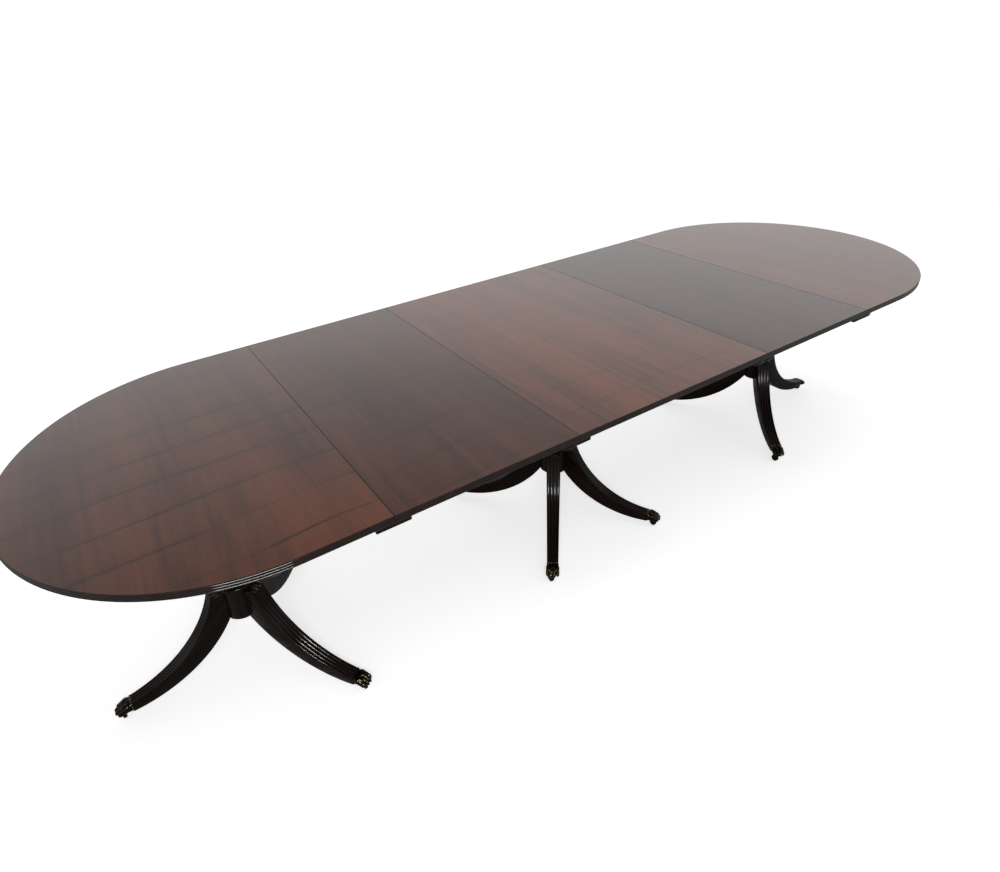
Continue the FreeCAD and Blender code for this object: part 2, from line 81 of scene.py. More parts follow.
lit_ledge_facing = 0.5
plain_spacing = 0.09
base_seed = 4.0
base_streaks = (0.35, 0.75)
base_rubbed = 0.8
base_waxed = 0.6
base_dusted_and_lit = 0.12
base_gloss = (0.08, 0.16)
wax_dulls = 0.25
dust_dulls = 0.30
base_specular = 0.12
streak_relief = 0.5
base_relief = 0.00003
usual_noise = (0.3, 0.7)


def shader_node(tree, kind, inputs=None, **settings):
    """New node of a finish; inputs are values or links by socket, settings are its properties."""
    made = tree.nodes.new("ShaderNode" + kind)
    for name, value in settings.items():
        setattr(made, name, value)
    for socket, value in (inputs or {}).items():
        if isinstance(value, bpy.types.NodeSocket):
            tree.links.new(value, made.inputs[socket])
        else:
            made.inputs[socket].default_value = value
    return made


def maths(tree, operation, first, second=0.0):
    return shader_node(tree, "Math", {0: first, 1: second}, operation=operation).outputs[0]


def spread(tree, value, low, high, to_low=0.0, to_high=1.0):
    """Value carried from the range low to high onto another range, and held there."""
    limits = {"Value": value, "From Min": low, "From Max": high, "To Min": to_low, "To Max": to_high}
    return shader_node(tree, "MapRange", limits).outputs[0]


def blend(tree, factor, first, second, way="MIX"):
    """Two colours mixed by a factor."""
    inputs = {0: factor, 6: first, 7: second}
    return shader_node(tree, "Mix", inputs, data_type="RGBA", blend_type=way).outputs[2]


def cloud(tree, vector, stretch, detail=3.0, roughness=0.55):
    """Noise with the given number of cells to the metre along each axis."""
    scaled = shader_node(tree, "VectorMath", {0: vector, 1: stretch}, operation="MULTIPLY").outputs[0]
    inputs = {"Vector": scaled, "Scale": 1.0, "Detail": detail, "Roughness": roughness}
    return shader_node(tree, "TexNoise", inputs).outputs["Fac"]


def new_group(name, inputs, outputs):
    """Empty node group with its sockets; returns its tree, its input node and its output node."""
    tree = bpy.data.node_groups.new(name, "ShaderNodeTree")
    for label, kind in inputs.items():
        tree.interface.new_socket(name=label, in_out="INPUT", socket_type="NodeSocket" + kind)
    for label in outputs:
        tree.interface.new_socket(name=label, in_out="OUTPUT", socket_type="NodeSocketFloat")
    return tree, tree.nodes.new("NodeGroupInput").outputs, tree.nodes.new("NodeGroupOutput").inputs


def use_group(tree, group, inputs):
    return shader_node(tree, "Group", inputs, node_tree=group).outputs


def turned_by(tree, vector, angle):
    """Vector turned about Z."""
    inputs = {"Vector": vector, "Angle": angle}
    return shader_node(tree, "VectorRotate", inputs, rotation_type="Z_AXIS").outputs[0]


def moved_by(tree, amount, step, vector):
    """Vector moved by an amount times a step."""
    inputs = {0: amount, 1: step, 2: vector}
    return shader_node(tree, "VectorMath", inputs, operation="MULTIPLY_ADD").outputs[0]


def mahogany_figure():
    """Figure of mahogany with the grain along X. Band is broad, Streak fine, Pore a mask. Ripple is
    a broken dark line across the grain, and Mottle changes from one ripple to the next."""
    seed_step = (3.17, 1.93, 2.41)
    drift_cells, drift_by = (0.8, 2.6, 2.6), (0.0, 0.10, 0.10)
    band_cells, streak_cells = (0.9, 6.5, 6.5), (1.6, 48.0, 48.0)
    pore_cells, pore_edge = (42.0, 950.0, 950.0), (0.60, 0.70)
    sway_cells, sway_by = (0.6, 2.0, 2.0), 0.09
    jag_cells, jag_by = (4.0, 90.0, 90.0), 0.008
    row_step = (0.61, 0.37, 0.53)
    gap_cells, gap_edge = (0.3, 3.2, 3.2), (0.40, 0.62)
    core_edge, shade_edge, shade_share = (0.022, 0.085), (0.0, 0.35), 0.22
    mottle_cells = (0.5, 14.0, 14.0)
    tree, given, out = new_group(
        "mahogany_figure", {"Vector": "Vector", "Seed": "Float", "Spacing": "Float"},
        ("Band", "Streak", "Pore", "Ripple", "Mottle"),
    )
    moved = moved_by(tree, given["Seed"], seed_step, given["Vector"])
    drift = maths(tree, "SUBTRACT", cloud(tree, moved, drift_cells, detail=2.0), 0.5)
    wandering = moved_by(tree, drift, drift_by, moved)
    tree.links.new(cloud(tree, wandering, band_cells, detail=4.0), out["Band"])
    tree.links.new(cloud(tree, wandering, streak_cells, detail=8.0, roughness=0.66), out["Streak"])
    pore = spread(tree, cloud(tree, wandering, pore_cells, detail=1.0), *pore_edge)
    tree.links.new(pore, out["Pore"])

    along = shader_node(tree, "SeparateXYZ", {0: moved}).outputs["X"]
    sway = maths(tree, "MULTIPLY", cloud(tree, moved, sway_cells, detail=1.0), sway_by)
    jag = maths(tree, "MULTIPLY", cloud(tree, moved, jag_cells, detail=2.0), jag_by)
    along = maths(tree, "ADD", maths(tree, "ADD", along, sway), jag)
    phase = maths(tree, "DIVIDE", along, given["Spacing"])
    number = maths(tree, "FLOOR", phase)
    past = maths(tree, "FRACT", phase)
    row = moved_by(tree, number, row_step, moved)
    broken = spread(tree, cloud(tree, row, gap_cells), *gap_edge)
    core = spread(tree, maths(tree, "PINGPONG", past, 0.5), *core_edge, 1.0, 0.0)
    shade = spread(tree, past, *shade_edge, shade_share, 0.0)
    line = maths(tree, "MAXIMUM", core, shade)
    tree.links.new(maths(tree, "MULTIPLY", line, broken), out["Ripple"])
    tree.links.new(cloud(tree, row, mottle_cells, detail=5.0, roughness=0.6), out["Mottle"])
    return tree


def rubbed_edges():
    """Broken wear along an edge: Mask is 1 on the edge."""
    patch_cells, patch_edge = (28.0, 28.0, 28.0), (0.42, 0.68)
    tree, given, out = new_group("rubbed_edges", {"Vector": "Vector", "Mask": "Float"}, ("Wear",))
    noise = cloud(tree, given["Vector"], patch_cells, detail=5.0, roughness=0.62)
    patches = spread(tree, noise, *patch_edge)
    tree.links.new(maths(tree, "MULTIPLY", patches, given["Mask"]), out["Wear"])
    return tree


def settled_dust():
    """Dust and old wax in the hollows: Mask is 1 in a hollow."""
    patch_cells, patch_edge = (60.0, 60.0, 60.0), (0.35, 0.75)
    tree, given, out = new_group("settled_dust", {"Vector": "Vector", "Mask": "Float"}, ("Dust",))
    patches = spread(tree, cloud(tree, given["Vector"], patch_cells, detail=4.0), *patch_edge)
    tree.links.new(maths(tree, "MULTIPLY", patches, given["Mask"]), out["Dust"])
    return tree


def polish_marks():
    """Marks of use in a polish: broad cloudy smears and fine straight scratches."""
    smear_cells = (3.1, 3.1, 3.1)
    scratch_turn, scratch_cells, scratch_edge = 0.6, (5.0, 520.0, 520.0), (0.68, 0.74)
    tree, given, out = new_group("polish_marks", {"Vector": "Vector"}, ("Smear", "Scratch"))
    tree.links.new(cloud(tree, given["Vector"], smear_cells, detail=6.0, roughness=0.6), out["Smear"])
    turned = turned_by(tree, given["Vector"], scratch_turn)
    lines = spread(tree, cloud(tree, turned, scratch_cells, detail=1.0), *scratch_edge)
    tree.links.new(lines, out["Scratch"])
    return tree


figure_group = mahogany_figure()
wear_group = rubbed_edges()
dust_group = settled_dust()
marks_group = polish_marks()


def new_finish(name):
    """New material; returns it with its tree and its Principled shader."""
    finish = bpy.data.materials.new(name)
    finish.use_nodes = True
    return finish, finish.node_tree, finish.node_tree.nodes["Principled BSDF"]


def attribute(tree, name):
    return shader_node(tree, "Attribute", attribute_name=name).outputs


def set_bump(tree, shader, height, distance, strength=1.0):
    bump = shader_node(tree, "Bump", {"Height": height, "Distance": distance, "Strength": strength})
    tree.links.new(bump.outputs[0], shader.inputs["Normal"])


def ebonised_mahogany():
    """Mahogany stained nearly black: rubbed on the arrises, wax in the corners, dust and painted light
    on the ledges.
    """
    finish, tree, shader = new_finish("ebonised_mahogany")
    grain = attribute(tree, "along_grain")["Vector"]
    figure = use_group(tree, figure_group,
                       {"Vector": grain, "Seed": base_seed, "Spacing": plain_spacing})
    marks = use_group(tree, marks_group, {"Vector": grain})
    wear = use_group(tree, wear_group, {"Vector": grain, "Mask": attribute(tree, "edge_wear")["Fac"]})
    wax = use_group(tree, dust_group, {"Vector": grain, "Mask": attribute(tree, "hollow")["Fac"]})
    ledge = use_group(tree, dust_group, {"Vector": grain, "Mask": attribute(tree, "ledge")["Fac"]})
    colour = blend(tree, spread(tree, figure["Streak"], *base_streaks), stain_dark, stain_thin)
    colour = blend(tree, maths(tree, "MULTIPLY", wear["Wear"], base_rubbed), colour, stain_rubbed)
    colour = blend(tree, maths(tree, "MULTIPLY", wax["Dust"], base_waxed), colour, wax_in_hollows)
    # Dust on the knee tops, partly painted light there.
    colour = blend(tree, maths(tree, "MULTIPLY", ledge["Dust"], base_dusted_and_lit), colour, ledge_dust_and_painted_light)
    tree.links.new(colour, shader.inputs["Base Color"])
    gloss = spread(tree, marks["Smear"], *usual_noise, *base_gloss)
    gloss = maths(tree, "ADD", gloss, maths(tree, "MULTIPLY", wax["Dust"], wax_dulls))
    gloss = maths(tree, "ADD", gloss, maths(tree, "MULTIPLY", ledge["Dust"], dust_dulls))
    tree.links.new(gloss, shader.inputs["Roughness"])
    shader.inputs["Specular IOR Level"].default_value = base_specular
    streaks = maths(tree, "MULTIPLY", figure["Streak"], streak_relief)
    set_bump(tree, shader, maths(tree, "SUBTRACT", streaks, figure["Pore"]), base_relief)
    return finish


base_finish = ebonised_mahogany()


def fit(bm, name, finish, body, slot, *nodes):
    """Makes the object of a finished mesh and fits it to its body in place of its CAD nodes."""
    mesh = bpy.data.meshes.new(name)
    bm.to_mesh(mesh)
    bm.free()
    mesh.shade_smooth()
    mesh.set_sharp_from_angle(angle=arris_angle)
    mesh.materials.append(finish)
    piece = bpy.data.objects.new(name, mesh)
    bpy.context.scene.collection.objects.link(piece)
    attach(piece, body)
    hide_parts(*nodes)
    return piece


def cad_copy(node):
    """Copy of a CAD piece with its flat faces made whole."""
    bm = bmesh.new()
    bm.from_mesh(frame["nodes"][node].data)
    bmesh.ops.remove_doubles(bm, verts=bm.verts, dist=weld_distance)
    bmesh.ops.dissolve_limit(bm, angle_limit=flat_angle, verts=bm.verts, edges=bm.edges)
    return bm


def eased(bm, arris, grain=Matrix.Identity(4), lit_ledge_from=math.inf):
    """Eases the arrises of a piece. edge_wear is 1 on the eased outer arrises, hollow is 1 in the
    inner corners, the ledge mask is 1 on what faces up above a level, for dust and painted light
    there, and along_grain has the grain along X."""
    for layer, outer in (("edge_wear", True), ("hollow", False)):
        mask = bm.loops.layers.float.new(layer)
        corners = [edge for edge in bm.edges if edge.is_manifold and edge.is_convex == outer
                   and edge.calc_face_angle() > arris_angle]
        bevelled = bmesh.ops.bevel(bm, geom=corners, offset=arris, affect="EDGES", segments=2,
                                   profile=0.5, material=-1, clamp_overlap=True)
        for face in bevelled["faces"]:
            for corner in face.loops:
                corner[mask] = 1.0
    ledge = bm.verts.layers.float.new("ledge")
    place = bm.verts.layers.float_vector.new("along_grain")
    bm.normal_update()
    for vert in bm.verts:
        vert[place] = grain @ vert.co
        vert[ledge] = float(vert.co.z > lit_ledge_from and vert.normal.z > lit_ledge_facing)
    return bm


for pedestal in pedestal_legs:
    node = pedestal + "_column"
    turning = eased(cad_copy(node), column_arris, column_grain)
    fit(turning, node + "_turning", base_finish, pedestal + "_unit", "base_mahogany", node)

# Sabre legs: sawn to a sweeping curve from thick mahogany, reeded by hand along the upper face,
# dovetailed into the drum from below and stained like the columns.
leg_arris = 0.0011
leg_fall = math.radians(41.0)
knee_valley = 0.0751
knee_seat = 0.0421
knee_steps = 6
valley_slack = 0.0001
knee_weld = 0.0002
pivots = {joint["name"]: Vector(joint["pos_m"]) for joint in frame["joints"] if "pos_m" in joint}


def middle_of(node):
    low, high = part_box(node)
    return (low + high) / 2


def leg_direction(pedestal, leg):
    """Angle about Z at which a leg leaves its column: the castor's stem is under its toe."""
    reach = pivots[pedestal + "_castor_swivel_" + leg] - middle_of(pedestal + "_column")
    return math.atan2(reach.y, reach.x)


def drawn_on(bm, edges, way):
    """Outline extruded along a way; returns the edges at the far end."""
    made = bmesh.ops.extrude_edge_only(bm, edges=edges)["geom"]
    verts = [item for item in made if isinstance(item, bmesh.types.BMVert)]
    bmesh.ops.translate(bm, vec=way, verts=verts)
    return [item for item in made if isinstance(item, bmesh.types.BMEdge)
            and all(vert in verts for vert in item.verts)]


def reeds_over_knee(bm, axis, angle):
    """Carries the reeds of a leg over its knee and along its top as far as the drum."""
    way = Vector((math.cos(angle), math.sin(angle), 0.0))
    top = max(vert.co.z for vert in bm.verts)
    flats = [face for face in bm.faces if face.normal.z > flat_facing
             and face.calc_center_median().z > top - weld_distance]
    valley = way.dot(axis) + knee_valley
    rim = [edge for face in flats for edge in face.edges
           if all(way.dot(vert.co) > valley - valley_slack for vert in edge.verts)]
    bmesh.ops.delete(bm, geom=flats, context="FACES_ONLY")
    corners = {vert for edge in rim for vert in edge.verts}
    centre = Vector((axis.x, axis.y, top)) + way * knee_valley
    turned = bmesh.ops.spin(bm, geom=rim + list(corners), cent=centre, axis=(way.y, -way.x, 0.0),
                            angle=math.pi / 2, steps=knee_steps)
    far = [item for item in turned["geom_last"] if isinstance(item, bmesh.types.BMEdge)]
    drawn_on(bm, far, way * (knee_seat - knee_valley))
    bmesh.ops.remove_doubles(bm, verts=bm.verts, dist=knee_weld)
    bmesh.ops.holes_fill(bm, edges=[edge for edge in bm.edges if edge.is_boundary], sides=0)
    bmesh.ops.recalc_face_normals(bm, faces=bm.faces)
    return top


for pedestal, legs in pedestal_legs.items():
    for leg in legs:
        node = pedestal + "_leg_" + leg
        angle = leg_direction(pedestal, leg)
        grain = Matrix.Rotation(-leg_fall, 4, "Y") @ Matrix.Rotation(-angle, 4, "Z")
        carving = cad_copy(node)
        knee_top = reeds_over_knee(carving, middle_of(pedestal + "_column"), angle)
        carving = eased(carving, leg_arris, grain, knee_top - leg_arris)
        fit(carving, node + "_reeded", base_finish, pedestal + "_unit", "base_mahogany", node)

# Paw caps: hollow brass castings in the form of a lion's paw that sleeve the toe of each leg, with
# a plain collar round the wood, locks of hair over the ankle, and four toes with claws.
paw_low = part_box("right_end_paw_caps")[0].z
leg_toe_reach = 0.346
leg_toe_depth = 0.029
collar_length = 0.0035
collar_width = 0.0398
collar_proud = 0.0010
collar_corner = 0.0045
collar_arris = 0.0012
ankle_size = (0.0200, 0.0198, 0.0144)
ankle_place = (0.0060, 0.0, 0.0146)
ankle_side_size = (0.0260, 0.0090, 0.0090)
ankle_side_out = 0.0105
ankle_side_levels = (0.0092, 0.0196)
instep_size = (0.0200, 0.0212, 0.0120)
instep_place = (0.0190, 0.0, 0.0124)
pad_size = (0.0190, 0.0205, 0.0070)
pad_place = (0.0215, 0.0, 0.0072)
toe_count = 4
toe_pitch = 0.0109
toe_splay = 5.0
outer_toe_back = 0.0060
knuckle_size = (0.0110, 0.0059, 0.0084)
knuckle_place = Vector((0.0205, 0.0, 0.0185))
toe_bone_size = (0.0125, 0.0059, 0.0086)
toe_tip_size = (0.0082, 0.0060, 0.0084)
toe_tip_place = Vector((0.0385, 0.0, 0.0088))
claw_size = (0.0024, 0.0024, 0.0026)
claw_offset = Vector((0.0062, 0.0, -0.0048))
lock_count = 5
lock_pitch = 0.0058
lock_size = (0.0090, 0.0028, 0.0018)
lock_reach = 0.0095
lock_level = 0.0272
lock_bow = 9.0
lock_drop = 20.0
lock_fan = 9.0
instep_tilt = 14.0
knuckle_tilt = 16.0
toe_bone_tilt = 30.0
toe_tip_tilt = 20.0
claw_tilt = 40.0
lock_tilt = 14.0
paw_voxel = 0.0008
paw_smoothing = 3
relief_spread = 3
relief_full = 0.10
proud_from = 0.03
brass_worn = (0.46, 0.36, 0.19, 1.0)
brass_dull = (0.050, 0.040, 0.023, 1.0)
brass_black = (0.010, 0.009, 0.007, 1.0)
paw_dull = (0.030, 0.024, 0.015, 1.0)
bloom_cells = (90.0, 90.0, 90.0)
pit_cells = (900.0, 900.0, 900.0)
pit_edge = (0.58, 0.72)
brass_gloss = (0.15, 0.28)
bloom_relief = 0.6
brass_relief = 0.00005


def lump(bm, size, place, tilt=0.0, yaw=0.0):
    """Rounded lump of the paw: an ellipsoid of the given half sizes, tilted nose down by degrees and
    turned."""
    turn = Matrix.Rotation(yaw, 4, "Z") @ Matrix.Rotation(math.radians(tilt), 4, "Y")
    shape = Matrix.Translation(place) @ turn @ Matrix.Diagonal((*size, 1.0))
    bmesh.ops.create_uvsphere(bm, u_segments=24, v_segments=14, radius=1.0, matrix=shape)


def paw_lumps():
    """Overlapping lumps of one paw; X runs outwards from the end of the wood and Z up from below."""
    bm = bmesh.new()
    lump(bm, ankle_size, ankle_place)
    for side in (-1, 1):
        for level in ankle_side_levels:
            lump(bm, ankle_side_size, (ankle_place[0], side * ankle_side_out, level))
    lump(bm, instep_size, instep_place, instep_tilt)
    lump(bm, pad_size, pad_place)
    for number in range(toe_count):
        off_middle = number - (toe_count - 1) / 2
        back = outer_toe_back if number in (0, toe_count - 1) else 0.0
        splay = math.radians(toe_splay) * off_middle
        offset = Vector((-back, off_middle * toe_pitch, 0.0))
        lump(bm, knuckle_size, knuckle_place + offset, knuckle_tilt, splay)
        lump(bm, toe_bone_size, (knuckle_place + toe_tip_place) / 2 + offset, toe_bone_tilt, splay)
        lump(bm, toe_tip_size, toe_tip_place + offset, toe_tip_tilt, splay)
        lump(bm, claw_size, toe_tip_place + offset + claw_offset, claw_tilt, splay)
    for number in range(lock_count):
        across = (number - (lock_count - 1) / 2) * lock_pitch
        reach = lock_reach - lock_bow * across * across
        level = lock_level - lock_drop * across * across
        lump(bm, lock_size, (reach, across, level), lock_tilt, lock_fan * across)
    return bm


def blended(bm, voxel):
    """The lumps run together into one skin, as a casting is, and smoothed a little."""
    mesh = bpy.data.meshes.new("paw_lumps")
    bm.to_mesh(mesh)
    bm.free()
    rough = bpy.data.objects.new("paw_lumps", mesh)
    bpy.context.scene.collection.objects.link(rough)
    remesh = rough.modifiers.new("one_skin", "REMESH")
    remesh.mode = "VOXEL"
    remesh.voxel_size = voxel
    ready = rough.evaluated_get(bpy.context.evaluated_depsgraph_get())
    skin = bmesh.new()
    skin.from_mesh(ready.to_mesh())
    ready.to_mesh_clear()
    bpy.data.objects.remove(rough)
    bpy.data.meshes.remove(mesh)
    for _ in range(paw_smoothing):
        bmesh.ops.smooth_vert(skin, verts=skin.verts, factor=0.5, use_axis_x=True, use_axis_y=True,
                              use_axis_z=True)
    return skin


def mark_relief(bm):
    """hollow is high where the skin dips between its neighbours, edge_wear where it stands proud."""
    hollow = bm.verts.layers.float.new("hollow")
    proud = bm.verts.layers.float.new("edge_wear")
    bm.normal_update()
    dips = {}
    for vert in bm.verts:
        around = [edge.other_vert(vert).co for edge in vert.link_edges]
        mean = sum(around, Vector()) / len(around)
        span = sum((point - vert.co).length for point in around) / len(around)
        dips[vert] = (mean - vert.co).dot(vert.normal) / span
    for _ in range(relief_spread):
        dips = {vert: (dips[vert] + sum(dips[edge.other_vert(vert)] for edge in vert.link_edges)
                       / len(vert.link_edges)) / 2 for vert in bm.verts}
    for vert in bm.verts:
        vert[hollow] = min(max(dips[vert] / relief_full, 0.0), 1.0)
        vert[proud] = min(max((-dips[vert] - proud_from) / relief_full, 0.0), 1.0)


def collar_band(bm):
    """Collar of the casting that stands a little proud of the wood all round."""
    high = leg_toe_depth + collar_proud
    size = Matrix.Diagonal((collar_length, collar_width, high, 1.0))
    place = Matrix.Translation((collar_length / 2, 0.0, high / 2))
    band = bmesh.ops.create_cube(bm, size=1.0, matrix=place @ size)
    rubbed = bm.verts.layers.float["edge_wear"]
    for vert in band["verts"]:
        vert[rubbed] = 1.0
    edges = {edge for vert in band["verts"] for edge in vert.link_edges}
    corners = [edge for edge in edges if abs(edge.verts[0].co.x - edge.verts[1].co.x) > weld_distance]
    rounded = bmesh.ops.bevel(bm, geom=corners, offset=collar_corner, affect="EDGES", segments=6,
                              profile=0.5, material=-1, clamp_overlap=True)
    rims = {edge for face in rounded["faces"] for vert in face.verts for edge in vert.link_edges
            if abs(edge.verts[0].co.x - edge.verts[1].co.x) < weld_distance}
    bmesh.ops.bevel(bm, geom=list(rims), offset=collar_arris, affect="EDGES", segments=3,
                    profile=0.5, material=-1, clamp_overlap=True)


def patinated_brass(name, worn, dull, black, wear_amount):
    """Old metal gone dark: rubbed bright on what stands proud, nearly black in the hollows."""
    finish, tree, shader = new_finish(name)
    place = shader_node(tree, "TexCoord").outputs["Object"]
    wear = use_group(tree, wear_group, {"Vector": place, "Mask": attribute(tree, "edge_wear")["Fac"]})
    dust = use_group(tree, dust_group, {"Vector": place, "Mask": attribute(tree, "hollow")["Fac"]})
    bloom = cloud(tree, place, bloom_cells, detail=5.0, roughness=0.6)
    pits = spread(tree, cloud(tree, place, pit_cells, detail=2.0), *pit_edge)
    colour = blend(tree, spread(tree, bloom, *usual_noise), black, dull)
    colour = blend(tree, maths(tree, "MULTIPLY", wear["Wear"], wear_amount), colour, worn)
    colour = blend(tree, attribute(tree, "hollow")["Fac"], colour, black)
    tree.links.new(colour, shader.inputs["Base Color"])
    shader.inputs["Metallic"].default_value = 1.0
    gloss = spread(tree, bloom, *usual_noise, *brass_gloss)
    gloss = maths(tree, "ADD", gloss, maths(tree, "MULTIPLY", dust["Dust"], wax_dulls))
    tree.links.new(gloss, shader.inputs["Roughness"])
    relief = maths(tree, "SUBTRACT", maths(tree, "MULTIPLY", bloom, bloom_relief), pits)
    set_bump(tree, shader, relief, brass_relief)
    return finish


paw_finish = patinated_brass("dark_paw_brass", brass_worn, paw_dull, brass_black, 0.6)
paw_casting = blended(paw_lumps(), paw_voxel)
mark_relief(paw_casting)
collar_band(paw_casting)
paw_mesh = bpy.data.meshes.new("paw_casting")
paw_casting.to_mesh(paw_mesh)
paw_casting.free()


def repeated(mesh, places):
    """One mesh with a copy of another at each place."""
    bm = bmesh.new()
    for place in places:
        start = len(bm.verts)
        bm.from_mesh(mesh)
        bm.verts.ensure_lookup_table()
        bmesh.ops.transform(bm, matrix=place, verts=bm.verts[start:])
    return bm


def leg_toe(pedestal, leg):
    """Place and turn of the end of a leg's wood, at the level of the paw's underside."""
    axis = middle_of(pedestal + "_column")
    return (Matrix.Translation((axis.x, axis.y, paw_low))
            @ Matrix.Rotation(leg_direction(pedestal, leg), 4, "Z")
            @ Matrix.Translation((leg_toe_reach, 0.0, 0.0)))


for pedestal, legs in pedestal_legs.items():
    node = pedestal + "_paw_caps"
    castings = repeated(paw_mesh, [leg_toe(pedestal, leg) for leg in legs])
    fit(castings, node + "_cast", paw_finish, pedestal + "_unit", "paw_brass", node)

# Castors: a brass horn that turns on a stem in the paw, and a turned brass wheel on a riveted axle.
# The brass has gone dark and is rubbed bright in places along its edges.
castor_arris = 0.0004
castor_finish = patinated_brass("castor_brass", brass_worn, brass_dull, brass_black, 0.9)
for pedestal, legs in pedestal_legs.items():
    for leg in legs:
        horn = pedestal + "_castor_horn_" + leg
        wheel = pedestal + "_castor_wheel_" + leg
        fit(eased(cad_copy(horn), castor_arris), horn + "_filed", castor_finish,
            pedestal + "_castor_" + leg, "castor_brass", horn)
        fit(eased(cad_copy(wheel), castor_arris), wheel + "_turned", castor_finish,
            pedestal + "_wheel_" + leg, "castor_brass", wheel)

# Blocks and bearers: plain mahogany under the top. The block takes the column's tenon between two
# tapered bearers, which are screwed up into the section that they carry.
bearer_arris = 0.0015
bearer_dark = (0.030, 0.014, 0.009, 1.0)
bearer_light = (0.085, 0.042, 0.025, 1.0)
bearer_worn = (0.15, 0.085, 0.05, 1.0)
bearer_seed = 11.0
bearer_streaks = (0.3, 0.75)
bearer_pores = 0.7
bearer_rubbed = 0.6
bearer_gloss = (0.48, 0.66)
bearer_dust_dulls = 0.2
bearer_relief = 0.00020
bearer_grain = Matrix.Rotation(math.radians(-90.0), 4, "Z")


def unpolished_mahogany():
    """Bare mahogany, rough from the plane, rubbed on the arrises."""
    finish, tree, shader = new_finish("unpolished_mahogany")
    grain = attribute(tree, "along_grain")["Vector"]
    figure = use_group(tree, figure_group,
                       {"Vector": grain, "Seed": bearer_seed, "Spacing": plain_spacing})
    wear = use_group(tree, wear_group, {"Vector": grain, "Mask": attribute(tree, "edge_wear")["Fac"]})
    dust = use_group(tree, dust_group, {"Vector": grain, "Mask": attribute(tree, "hollow")["Fac"]})
    colour = blend(tree, spread(tree, figure["Streak"], *bearer_streaks), bearer_dark, bearer_light)
    colour = blend(tree, maths(tree, "MULTIPLY", figure["Pore"], bearer_pores), colour, bearer_dark)
    colour = blend(tree, maths(tree, "MULTIPLY", wear["Wear"], bearer_rubbed), colour, bearer_worn)
    tree.links.new(colour, shader.inputs["Base Color"])
    gloss = spread(tree, figure["Band"], *usual_noise, *bearer_gloss)
    gloss = maths(tree, "ADD", gloss, maths(tree, "MULTIPLY", dust["Dust"], bearer_dust_dulls))
    tree.links.new(gloss, shader.inputs["Roughness"])
    relief = maths(tree, "SUBTRACT", figure["Streak"], figure["Pore"])
    set_bump(tree, shader, relief, bearer_relief)
    return finish


bearer_finish = unpolished_mahogany()
for pedestal in pedestal_legs:
    for part, grain in (("_block", Matrix.Identity(4)), ("_bearers", bearer_grain)):
        node = pedestal + part
        fit(eased(cad_copy(node), bearer_arris, grain), node + "_planed", bearer_finish,
            pedestal + "_unit", "bearer_wood", node)

# Top: five sections of solid mahogany with the grain across the table, three reeds worked along
# the outside edge, French polished above and left bare below. The joint faces are square with their
# arrises just eased.
top_low, top_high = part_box("centre_top")
reed_count = 3
reed_rise = 0.0018
reed_steps = 8
round_steps = 96
half_width = top_high.y
reed_pitch = (top_high.z - top_low.z) / reed_count
reed_radius = (reed_pitch ** 2 / 4 + reed_rise ** 2) / (2 * reed_rise)
reed_sweep = 2 * math.asin(reed_pitch / 2 / reed_radius)
top_grain_turn = math.radians(-90.0)
mahogany_deep = (0.038, 0.013, 0.009, 1.0)
mahogany_body = (0.105, 0.032, 0.016, 1.0)
mahogany_red = (0.170, 0.050, 0.022, 1.0)
mahogany_line = (0.018, 0.009, 0.008, 1.0)
ripple_spacing = 0.125
# Near-black colours of the reeded edge and joint faces: painted shade, the same wood made far darker
# than the face.
moulding_painted_shade = (0.0075, 0.0042, 0.0034, 1.0)
moulding_worn = (0.045, 0.021, 0.013, 1.0)
edge_painted_shade = (0.0045, 0.0028, 0.0023, 1.0)
pore_dark = (0.016, 0.008, 0.006, 1.0)
top_streaks = (0.28, 0.62)
red_bands = (0.45, 0.70)
dark_bands = (0.50, 0.30)
red_mottle = (0.52, 0.74)
dark_mottle = (0.48, 0.26)
mottle_share = 0.3
top_pores = 0.35
polish_gloss = (0.09, 0.14)
scratch_dulls = 0.10
polish_ior = 1.68
polish_relief = 0.00004
fibre_cells = (220.0, 220.0, 220.0)
edge_rubbed = 0.35
edge_gloss = (0.08, 0.12)
edge_specular = 0.34
edge_relief = 0.00001


def half_outline(bm, x, side):
    """Outline of half a section at x: from its middle over the top, round the reeds, back below."""
    inner = side * (half_width - reed_rise)
    last = bm.verts.new((x, inner, top_high.z))
    bm.edges.new((bm.verts.new((x, 0.0, top_high.z)), last))
    for number in range(reed_count):
        centre = (x, side * (half_width - reed_radius), top_high.z - (number + 0.5) * reed_pitch)
        swept = bmesh.ops.spin(bm, geom=[last], cent=centre, axis=(1.0, 0.0, 0.0),
                               angle=-side * reed_sweep, steps=reed_steps)
        last = [item for item in swept["geom_last"] if isinstance(item, bmesh.types.BMVert)][0]
    bm.edges.new((last, bm.verts.new((x, 0.0, top_low.z))))
    return list(bm.edges)


def close_section(bm, joints):
    """Welds a section, closes its joint faces and eases the arris of each by its own amount."""
    bmesh.ops.remove_doubles(bm, verts=bm.verts, dist=weld_distance)
    bmesh.ops.holes_fill(bm, edges=[edge for edge in bm.edges if edge.is_boundary], sides=0)
    bmesh.ops.recalc_face_normals(bm, faces=bm.faces)
    for joint, arris in joints.items():
        rim = [edge for edge in bm.edges if edge.calc_face_angle(0.0) > arris_angle
               and all(abs(vert.co.x - joint) < weld_distance for vert in edge.verts)]
        bmesh.ops.bevel(bm, geom=rim, offset=arris, affect="EDGES", segments=2, profile=0.5,
                        material=-1, clamp_overlap=True)


